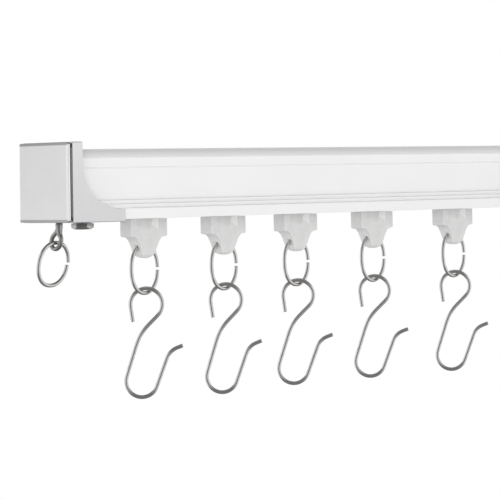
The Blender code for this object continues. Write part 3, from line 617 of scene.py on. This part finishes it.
def screw_mesh():
    """A hexagon-head screw with a chamfered head, a washer face and a rolled thread."""
    t, b, af, n = -29.6, -32.3, 8.1, 72
    lead = -21.4

    def hexagon(scale, z, round_to=None):
        out = []
        for k in range(n):
            a = 2 * math.pi * k / n
            sector = (a + math.pi / 6) % (math.pi / 3) - math.pi / 6
            r = af / 2 / math.cos(sector + 0.0) if True else 0
            r = min(r, af / 2 * 1.135) * scale
            if round_to is not None:
                r = min(r, round_to)
            out.append((r * math.cos(a), r * math.sin(a), z))
        return out

    rings = [disc(0.01, n, "Z", b + 0.12), disc(2.2, n, "Z", b + 0.12), disc(2.45, n, "Z", b + 0.02), disc(3.2, n, "Z", b)]
    for z, limit in ((b + 0.10, 3.55), (b + 0.30, 3.90), (b + 0.55, 4.25), (b + 0.80, 4.55)):
        rings.append(hexagon(1.0, z, limit))
    rings += [hexagon(1.0, b + 1.0), hexagon(1.0, t - 0.35), hexagon(0.985, t - 0.22), disc(3.75, n, "Z", t - 0.2), disc(3.7, n, "Z", t),
              disc(1.72, n, "Z", t)]
    pitch, depth, core = 0.7, 0.28, 1.9
    z = t
    while z < lead:
        ring = []
        for k in range(n):
            a = 2 * math.pi * k / n
            phase = ((z - t) / pitch - k / n) % 1.0
            r = core - depth * abs(2 * phase - 1) * min(1.0, (z - t) / 0.6)
            ring.append((r * math.cos(a), r * math.sin(a), z + 0.06))
        rings.append(ring)
        z += pitch / 8
    rings += [disc(1.55, n, "Z", lead + 0.12), disc(1.35, n, "Z", -20.95), disc(0.01, n, "Z", -20.92)]
    return loft("clamp_screw_fine", rings)


def nut_mesh():
    inner, z0, z1, n = 2.22, -26.1, -23.2, 48
    rings = []
    for k in range(n):
        a = 2 * math.pi * k / n
        c, s = math.cos(a), math.sin(a)
        outer = min(3.7 / max(abs(c), abs(s)), 4.7)
        e = 0.25
        section = [(inner + e, z0), (outer - e, z0), (outer, z0 + e), (outer, z1 - e), (outer - e, z1), (inner + e, z1), (inner, z1 - e),
                   (inner, z0 + e)]
        rings.append([(r * c, r * s, z) for r, z in section])
    return loft("clamp_nut_fine", rings, closed=True)


def eye_mesh():
    """A bent wire eye: a tapering forged stem that runs into a drop-shaped loop across the rail's direction."""
    stem = [(-23.8, 0.85), (-27.0, 0.85), (-29.15, 0.86), (-29.35, 1.15), (-29.55, 1.46), (-30.2, 1.48), (-31.0, 1.44), (-31.8, 1.38),
            (-32.6, 1.30)]
    loop = [(-1.85, -34.1), (-2.6, -35.4), (-2.55, -37.0), (-1.7, -38.5), (-0.2, -39.5), (1.4, -39.7), (2.9, -39.1), (3.6, -37.7),
            (3.3, -36.1), (2.4, -34.7), (1.0, -33.6), (0.1, -33.0)]
    path = [(0.0, -1.5, z) for z, r in stem]
    radii = [r for z, r in stem]
    bend = smooth_path([(0.0, -1.5, -32.6)] + [(0.0, y, z) for y, z in loop] + [(0.0, -0.5, -32.3)], 6)
    for k, p in enumerate(bend[1:]):
        path.append(tuple(p))
        radii.append(0.92 if k > 10 else 1.28 - 0.36 * k / 10)
    count = len(radii)
    for k in range(10):
        radii[count - 1 - k] = 1.0 - 0.008 * k
    radii[-1] = 0.8
    return sweep("eye_fine", path, radii, 20)


screw, nut, eye = screw_mesh(), nut_mesh(), eye_mesh()
for side, s in (("left", -1.0), ("right", 1.0)):
    x = node_middle("clamp_screw_" + side).x
    place("clamp_bolt_" + side, screw, STEEL, "clamp_screw_" + side, "track", "plain_steel", (x, 0, 0),
          rotation=(0, 0, math.radians(12.0 * s)), smooth=45)
    place("slot_nut_" + side, nut, STEEL, "clamp_nut_" + side, "track", "plain_steel", (x, 0, 0), smooth=30)
    place("wire_eye_" + side, eye, EYE, "eye_" + side, "track", "bright_wire", (node_middle("eye_" + side).x, 0, 0), smooth=70)

# ------------------------------------------------------------------ rings and hooks

WIRE_R = 0.82


def oval_path(half_x, half_z, gap, count):
    cut = math.asin(gap / 2 / half_z)
    out = []
    for k in range(count + 1):
        a = cut + (2 * math.pi - 2 * cut) * k / count
        c, s = math.cos(a), math.sin(a)
        e = 2 / 2.15
        out.append((half_x * math.copysign(abs(c) ** e, c), 0.0, half_z * math.copysign(abs(s) ** e, s)))
    return out


def ring_mesh(name, half_x, half_z, gap=0.9, offset=0.0):
    """A split ring, origin at the top wire's centre. The two cut ends stand a little apart sideways by offset."""
    path = []
    pts = oval_path(half_x, half_z, gap, 110)
    for k, (x, y, z) in enumerate(pts):
        t = 2 * k / (len(pts) - 1) - 1
        path.append((x, offset * t ** 5, z - half_z))
    return wire(name, path, WIRE_R, 24)


def hook_path(fine=4, bend=1.0):
    x, z, h = 0.0, 0.0, math.radians(98.0)
    out = [(x, z)]
    run = (("line", 6.2, 0), ("arc", 6.57, -194.3), ("arc", 6.1, -39.2), ("line", 6.1, 0), ("arc", 18.4, 27.6), ("line", 13.7, 0),
           ("arc", 6.5, 177.4), ("line", 12.3, 0), ("arc", 6.9, -49.7), ("line", 2.6, 0))
    for kind, size, turn in run:
        if kind == "line":
            count = max(2, round(size / 1.2))
            for k in range(count):
                x, z = x + size / count * math.cos(h), z + size / count * math.sin(h)
                out.append((x, z))
            continue
        a = math.radians(turn)
        count = max(2, round(abs(turn) / 17.5)) * fine
        for k in range(count):
            chord = 2 * size * math.sin(abs(a) / count / 2)
            x, z = x + chord * math.cos(h + a / count / 2), z + chord * math.sin(h + a / count / 2)
            h += a / count
            out.append((x, z))
    # ease the joins between runs
    for _ in range(3):
        out = [out[0]] + [tuple((Vector(out[i - 1]) + Vector(out[i]) * 2 + Vector(out[i + 1])) / 4) for i in range(1, len(out) - 1)] + [out[-1]]
    crown = max(q[1] for q in out)
    top = [q for q in out if q[1] > crown - 13.0]
    left, right = min(q[0] for q in top), max(q[0] for q in top)
    return [(q[0] - (left + right) / 2 + 0.6, q[1] - crown) for q in out]


def hook_mesh(turn_deg, stretch, lean_deg):
    """An S-hook with its origin at the ring wire it hangs on: its plane's turn, its length and its lean in that plane."""
    c, s = math.cos(math.radians(turn_deg)), math.sin(math.radians(turn_deg))
    lean = math.radians(lean_deg)
    path = []
    for u, z in hook_path():
        z = z * stretch
        u, z = u * math.cos(lean) - z * math.sin(lean), u * math.sin(lean) + z * math.cos(lean)
        path.append((u * c, u * s, z + 2 * WIRE_R + 0.30))
    return wire("hook_fine", path, WIRE_R, 24)


def outline_span():
    pts = hook_path()
    return min(p[0] for p in pts), max(p[0] for p in pts)


ring = ring_mesh("ring_fine", 7.0, 9.85)
HOOKS = {1: (-41.2, 1.0, -0.1), 2: (-41.4, 1.022, 0.15), 3: (-40.9, 1.0, -0.5), 4: (-41.2, 0.998, -0.7), 5: (-40.7, 1.003, -0.6),
         6: (-41.8, 1.0, 0.3), 7: (-41.0, 1.004, -0.3)}
for i in GLIDERS:
    at = joint_point("ring_%d_swing" % i)
    place("split_ring_%d" % i, ring, WIRE, "ring_%d" % i, "ring_%d" % i, "bright_wire", at, smooth=50)
    at = joint_point("hook_%d_swing" % i)
    turn, stretch, lean = HOOKS.get(i, (-40.0, 1.0, 0.0))
    place("s_hook_%d" % i, hook_mesh(turn, stretch, lean), WIRE, "hook_%d" % i, "hook_%d" % i, "bright_wire", at, smooth=50)
end_ring = ring_mesh("end_ring_fine", 7.3, 8.75, 1.0, 0.22)
end_ring.transform(Matrix.Translation((-0.35 * MM, 0, 0.35 * MM)))
end_ring.transform(Matrix.Rotation(math.radians(13.0), 4, "X"))
for side in ("left", "right"):
    at = joint_point("end_ring_%s_swing" % side)
    mesh = end_ring if side == "left" else mirrored("end_ring_fine_right", end_ring)
    place("end_split_ring_" + side, mesh, WIRE, "end_ring_" + side, "end_ring_" + side, "bright_wire", at, smooth=50)

# ------------------------------------------------------------------ gliders and wheels


def glider_mesh():
    half_x, half_y, top, b = 9.65, 3.6, -28.75, -36.05
    edge = smooth_path([(7.75, b - 0.02, 0), (6.7, b - 0.5, 0), (5.75, -37.45, 0), (4.95, -38.8, 0), (4.3, -40.4, 0), (3.7, -42.0, 0),
                        (3.25, -43.2, 0), (2.6, -44.0, 0), (1.5, -44.6, 0), (0.0, -44.9, 0)], 4)
    side = arc(half_x - 0.8, b + 0.8, 0.8, 0.8, 0, -90, 8) + [(p.x, p.y) for p in edge]
    side[-1] = (0.0, -44.9)
    outline = [(half_x, top)] + side + [(-x, z) for x, z in reversed(side[:-1])] + [(-half_x, top)]
    body = prism("glider", outline, "Y", -half_y, half_y)
    taper = smooth_path([(3.6, -36.6, 0), (3.55, -38.0, 0), (3.4, -40.0, 0), (3.15, -42.0, 0), (2.75, -43.4, 0), (2.1, -44.3, 0),
                         (1.2, -44.8, 0), (0.0, -44.95, 0)], 3)
    taper = [(p.x, p.y) for p in taper]
    across = [(9.0, -19.0), (9.0, -36.0)] + taper + [(-y, z) for y, z in reversed(taper[:-1])] + [(-9.0, -36.0), (-9.0, -19.0)]
    outside = [("INTERSECT", prism("taper", across, "X", -12.0, 12.0)),
               ("UNION", prism("neck", rounded_rect(-4.6, top - 0.8, 4.6, -19.3, 1.2, 8), "Y", -2.0, 2.0))]
    body = soften(boolean("glider_outside", body, outside), 0.20, 38.0, 2)
    steps = []
    for sign in (-1, 1):
        rings = []      # a shallow two-faced recess under the rail
        for z, valley, d, c in ((-27.0, 3.2, 1.60, 0.27), (-29.0, 2.7, 1.30, 0.27), (-31.0, 1.8, 0.90, 0.26), (-33.0, 0.7, 0.40, 0.22),
                                (-33.9, 0.3, -0.08, -0.08)):
            out, face = sign * (half_y + 2), sign * half_y
            rings.append([(-9.35, out, z), (-9.35, face - sign * c, z), (-6.7, face - sign * min(0.02, d), z), (valley, face - sign * d, z),
                          (5.0, face - sign * min(0.02, d), z), (5.0, out, z)])
        steps.append(("DIFFERENCE", loft("recess", rings)))
        mouth = []      # the ring's mouth on each side of the tongue: it falls outwards along the ring's curve and widens for its swing
        for x, w, foot, zt, zb in ((1.9, 1.1, 1.4, -38.6, -41.3), (3.2, 1.42, 2.2, -38.9, -42.0), (5.0, 1.95, 3.1, -39.6, -43.8),
                                   (12.0, 3.0, 4.8, -42.0, -48.0)):
            mouth.append([(sign * x, -foot, zb), (sign * x, foot, zb), (sign * x, w, zt - 0.5), (sign * x, w - 0.5, zt),
                          (sign * x, -w + 0.5, zt), (sign * x, -w, zt - 0.5)])
        steps.append(("DIFFERENCE", loft("ring_slot", mouth)))
    steps.append(("DIFFERENCE", loft("ring_hole", [disc(1.5, 24, "X", x, (0.0, -39.65)) for x in (-3.5, 3.5)])))
    steps.append(("DIFFERENCE", loft("pin_hole", [disc(1.2, 24, "Y", y, (0.0, -21.95)) for y in (-4.0, 4.0)])))
    return soften(boolean("glider_body_fine", body, steps), 0.0)


def wheel_mesh():
    """A moulded wheel: crowned tread, rounded rims and a dished face with a hub on each side."""
    r, w, bore = 4.2, 1.7, 1.0
    half = [(bore, 1.55), (bore + 0.1, w), (1.9, w), (2.05, w - 0.1), (2.15, 1.05), (2.45, 0.9), (2.95, 0.95), (3.2, 1.3), (3.35, w - 0.12),
            (3.5, w)]
    rim = arc(r - 0.55, w - 0.55, 0.5, 0.55, 90, 8, 8)
    out = half + rim + [(r, w * 0.35), (r, 0.0)]
    profile = out + [(q[0], -q[1]) for q in reversed(out[:-1])]
    return revolve("wheel_fine", profile, 56, "Y")


def axle_mesh():
    n, r, h = 32, 0.88, 6.2
    rings = [disc(0.02, n, "Y", -h), disc(r - 0.2, n, "Y", -h), disc(r - 0.05, n, "Y", -h + 0.06), disc(r, n, "Y", -h + 0.2),
             disc(r, n, "Y", -5.95), disc(r - 0.12, n, "Y", -5.9), disc(r - 0.12, n, "Y", -5.8), disc(r, n, "Y", -5.75)]
    rings += [[(x, -y, z) for x, y, z in ring] for ring in reversed(rings)]
    return loft("axle_fine", rings)


glider, wheel, axle = glider_mesh(), wheel_mesh(), axle_mesh()
for i in GLIDERS:
    x = node_middle("glider_body_%d" % i).x
    g = "glider_%d" % i
    place("glider_moulding_%d" % i, glider, NYLON, "glider_body_%d" % i, g, "glider_nylon", (x, 0, 0), weighted=True)
    a = node_middle("glider_axle_%d" % i)
    place("axle_pin_%d" % i, axle, STEEL, "glider_axle_%d" % i, g, "plain_steel", a, smooth=40)
    for face in ("front", "back"):
        n = "wheel_%s_%d" % (face, i)
        place("roller_%s_%d" % (face, i), wheel, WHEEL, n, n, "wheel_nylon", node_middle(n), smooth=35)

# ------------------------------------------------------------------ studio

floor_mesh = bpy.data.meshes.new("floor")
floor_mesh.from_pydata([(-60, -60, 0), (60, -60, 0), (60, 60, 0), (-60, 60, 0)], [], [(0, 1, 2, 3)])
floor = bpy.data.objects.new("floor", floor_mesh)
floor.location = (0, 0, -0.26)
scene.collection.objects.link(floor)
floor.visible_diffuse = False
floor.visible_glossy = False
floor.visible_transmission = False
floor.visible_shadow = False
fm = bpy.data.materials.new("pale_floor")
fm.use_nodes = True
t = fm.node_tree
t.nodes.clear()
out = t.nodes.new("ShaderNodeOutputMaterial")
em = t.nodes.new("ShaderNodeEmission")
em.inputs["Color"].default_value = (1, 1, 1, 1)
em.inputs["Strength"].default_value = 1.0
t.links.new(em.outputs[0], out.inputs[0])
floor_mesh.materials.append(fm)

# A white studio: the camera sees plain white. Everything else is lit by a bright band round the horizon, darker overhead and
# below, with a few dark upright flags that put the dark lines into the wires.
world = bpy.data.worlds.new("studio")
scene.world = world
world.use_nodes = True
w = world.node_tree
w.nodes.clear()


def wadd(kind, inputs=None, **settings):
    node = w.nodes.new(kind)
    for k, v in settings.items():
        setattr(node, k, v)
    for k, v in (inputs or {}).items():
        if isinstance(v, bpy.types.NodeSocket):
            w.links.new(v, node.inputs[k])
        else:
            node.inputs[k].default_value = v
    return node


def wmath(op, a, b=0.0, c=0.0):
    node = w.nodes.new("ShaderNodeMath")
    node.operation = op
    for k, v in enumerate((a, b, c)):
        if isinstance(v, bpy.types.NodeSocket):
            w.links.new(v, node.inputs[k])
        else:
            node.inputs[k].default_value = v
    return node.outputs[0]


def wstep(value, points):
    """A smooth curve through (value, level) points."""
    lo, hi = points[0][0], points[-1][0]
    r = wadd("ShaderNodeValToRGB", {"Fac": wmath("DIVIDE", wmath("SUBTRACT", value, lo), hi - lo)})
    r.color_ramp.interpolation = "EASE"
    e = r.color_ramp.elements
    while len(e) < len(points):
        e.new(0.5)
    for k, (v, level) in enumerate(points):
        e[k].position = (v - lo) / (hi - lo)
        e[k].color = (level, level, level, 1.0)
    return r.outputs["Color"]


direction = wadd("ShaderNodeTexCoord").outputs["Generated"]
xyz = wadd("ShaderNodeSeparateXYZ", {"Vector": direction})
CAMERA_HEADING = math.atan2(-0.733676, -0.674456)      # the horizontal direction from the object to the camera
azimuth = wmath("ARCTAN2", xyz.outputs["Y"], xyz.outputs["X"])
turned = wmath("WRAP", wmath("SUBTRACT", azimuth, CAMERA_HEADING), math.pi, -math.pi)      # 0 towards the camera, + to the picture's right
elevation = wmath("ARCSINE", xyz.outputs["Z"])
deg = math.radians
band = wstep(elevation, [(deg(-90), 0.48), (deg(-48), 0.52), (deg(-27), 1.0), (deg(0), 1.12), (deg(27), 1.02), (deg(48), 0.20), (deg(90), 0.18)])
sides = wstep(turned, [(deg(-180), 0.56), (deg(-135), 0.60), (deg(-105), 0.54), (deg(-60), 0.52), (deg(20), 0.54), (deg(110), 0.57), (deg(145), 0.60),
                       (deg(180), 0.56)])
wide = wadd("ShaderNodeMix", data_type="RGBA", blend_type="MULTIPLY")
wide.inputs["Factor"].default_value = 1.0
w.links.new(band, wide.inputs[6])
w.links.new(sides, wide.inputs[7])
soft = wadd("ShaderNodeBackground", {"Color": wide.outputs[2], "Strength": 1.73})
tight = wstep(elevation, [(deg(-90), 0.22), (deg(-46), 0.26), (deg(-26), 1.0), (deg(0), 1.05), (deg(24), 1.0), (deg(42), 0.14), (deg(90), 0.12)])
flags = wstep(turned, [(deg(-180), 1.0), (deg(-44), 1.0), (deg(-26), 0.22), (deg(20), 0.22), (deg(38), 1.0), (deg(150), 1.0), (deg(180), 1.0)])
light = wadd("ShaderNodeMix", data_type="RGBA", blend_type="MULTIPLY")
light.inputs["Factor"].default_value = 1.0
w.links.new(tight, light.inputs[6])
w.links.new(flags, light.inputs[7])
sharp = wadd("ShaderNodeBackground", {"Color": wmath("MAXIMUM", light.outputs[2], 0.25), "Strength": 1.10})
plain = wadd("ShaderNodeBackground", {"Color": (1, 1, 1, 1), "Strength": 1.0})
path = wadd("ShaderNodeLightPath")
mix = wadd("ShaderNodeMixShader")
kind = wadd("ShaderNodeMixShader")
w.links.new(path.outputs["Is Glossy Ray"], kind.inputs[0])
w.links.new(soft.outputs[0], kind.inputs[1])
w.links.new(sharp.outputs[0], kind.inputs[2])
w.links.new(path.outputs["Is Camera Ray"], mix.inputs[0])
w.links.new(kind.outputs[0], mix.inputs[1])
w.links.new(plain.outputs[0], mix.inputs[2])
wout = wadd("ShaderNodeOutputWorld")
w.links.new(mix.outputs[0], wout.inputs[0])


def area(name, heading, height, distance, size, power):
    """A soft box on a circle round the object, heading in degrees from the camera's direction."""
    a = CAMERA_HEADING + deg(heading)
    data = bpy.data.lights.new(name, "AREA")
    data.shape = "RECTANGLE"
    data.size, data.size_y = size
    data.energy = power
    o = bpy.data.objects.new(name, data)
    o.location = (distance * math.cos(a), distance * math.sin(a), height)
    o.rotation_euler = Vector((-o.location.x, -o.location.y, -0.03 - o.location.z)).to_track_quat("-Z", "Y").to_euler()
    scene.collection.objects.link(o)
    o.visible_camera = False
    o.visible_glossy = False
    return o


area("key_softbox", 0.0, 0.40, 3.0, (1.35, 1.15), 32.0)
area("back_softbox", 185.0, 0.40, 3.0, (2.0, 1.4), 14.0)

scene.view_settings.view_transform = "Standard"
scene.view_settings.look = "None"

# ------------------------------------------------------------------ camera

camera_data = bpy.data.cameras.new("camera")
camera = bpy.data.objects.new("camera", camera_data)
scene.collection.objects.link(camera)
scene.camera = camera
right, up, back = Vector((0.737142, -0.675459, -0.019383)), Vector((-0.041599, -0.073991, 0.996391)), Vector((-0.674456, -0.733676, -0.08264))
home = Vector((-0.847423, -0.838369, -0.01371))
camera.matrix_world = Matrix.Translation(home) @ Matrix((right, up, back)).transposed().to_4x4()
camera_data.sensor_width = 36.0
camera_data.lens = 190.978
camera_data.clip_start, camera_data.clip_end = 0.05, 200.0
# The front view keeps uprights nearly parallel with a lens shift. The shift holds only while the camera stands at its home
# point: it fades to nothing twenty centimetres away from it.
marker = bpy.data.objects.new("camera_home", None)
marker.location = home
scene.collection.objects.link(marker)
curve = camera_data.driver_add("shift_y")
for m in list(curve.modifiers):
    curve.modifiers.remove(m)
for k in reversed(list(curve.keyframe_points)):
    curve.keyframe_points.remove(k)
curve.driver.type = "SUM"
var = curve.driver.variables.new()
var.type = "LOC_DIFF"
var.targets[0].id = camera
var.targets[1].id = marker
for distance, shift in ((0.0, -0.58), (0.05, -0.58), (0.2, 0.0), (1000.0, 0.0)):
    curve.keyframe_points.insert(distance, shift)
for key in curve.keyframe_points:
    key.interpolation = "LINEAR"
